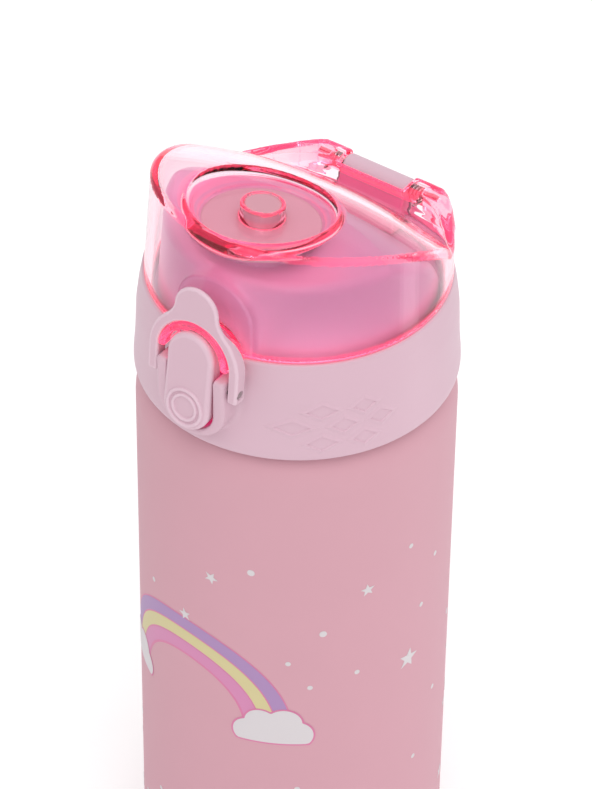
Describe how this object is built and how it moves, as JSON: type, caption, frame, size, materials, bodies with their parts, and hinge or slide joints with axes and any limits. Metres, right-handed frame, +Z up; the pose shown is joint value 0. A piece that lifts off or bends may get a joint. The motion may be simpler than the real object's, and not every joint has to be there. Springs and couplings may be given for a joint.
{
  "type": "kids water bottle",
  "caption": "Slim frosted bottle with a screw cap, a clear flip lid sprung at the back, a rocking latch button and a swinging lock bail.",
  "frame": {"origin": "centre of the base ring, on the bottle's axis, on the surface it stands on", "axes": "+Z up along the bottle's axis, -Y towards the latch button, +Y towards the lid's hinge"},
  "size_m": [0.0706, 0.0772, 0.2095],
  "materials": {
    "frosted_body": "frosted, satin, soft-touch coating over clear plastic with a printed pattern",
    "collar_plastic": "satin moulded, pale pink",
    "cap_plastic": "moulded, semi-gloss pink",
    "clear_pink": "clear tinted, polished",
    "silicone": "matt silicone, grey-pink",
    "gasket_silicone": "matt silicone, translucent white",
    "steel": "drawn stainless wire, bright"
  },
  "bodies": {
    "bottle": {"bottle_body": "frosted_body"},
    "cap_carrier": {"neck_gasket": "gasket_silicone"},
    "cap": {"collar_ring": "collar_plastic", "inner_cap": "cap_plastic", "hinge_pin": "steel", "hinge_spring_left": "steel", "hinge_spring_right": "steel", "latch_pin": "steel", "button_spring": "steel"},
    "lid": {"lid_shell": "clear_pink", "lid_seal": "silicone"},
    "button": {"latch_button": "collar_plastic"},
    "bail": {"lock_bail": "collar_plastic"}
  },
  "joints": [
    {"name": "cap_lift", "type": "slide", "parent": "bottle", "child": "cap_carrier", "axis": [0, 0, 1], "range_m": [0, 0.008]},
    {"name": "cap_turn", "type": "hinge", "parent": "cap_carrier", "child": "cap", "pos_m": [0, 0, 0.175], "axis": [0, 0, 1], "range_deg": [0, 720]},
    {"name": "lid_hinge", "type": "hinge", "parent": "cap", "child": "lid", "pos_m": [0, 0.0302, 0.1866], "axis": [-1, 0, 0], "range_deg": [0, 110], "deforming": ["hinge_spring_left", "hinge_spring_right"]},
    {"name": "button_rock", "type": "hinge", "parent": "cap", "child": "button", "pos_m": [0, -0.0367, 0.1773], "axis": [1, 0, 0], "range_deg": [0, 7], "stiffness_Nm_per_rad": 0.05, "springref_deg": -11.46, "deforming": ["button_spring"]},
    {"name": "bail_swing", "type": "hinge", "parent": "cap", "child": "bail", "pos_m": [0, -0.0367, 0.1773], "axis": [1, 0, 0], "range_deg": [0, 120]}
  ],
  "couplings": [
    {"joint": "cap_lift", "follows": "cap_turn", "m_per_rad": 0.0006366}
  ]
}
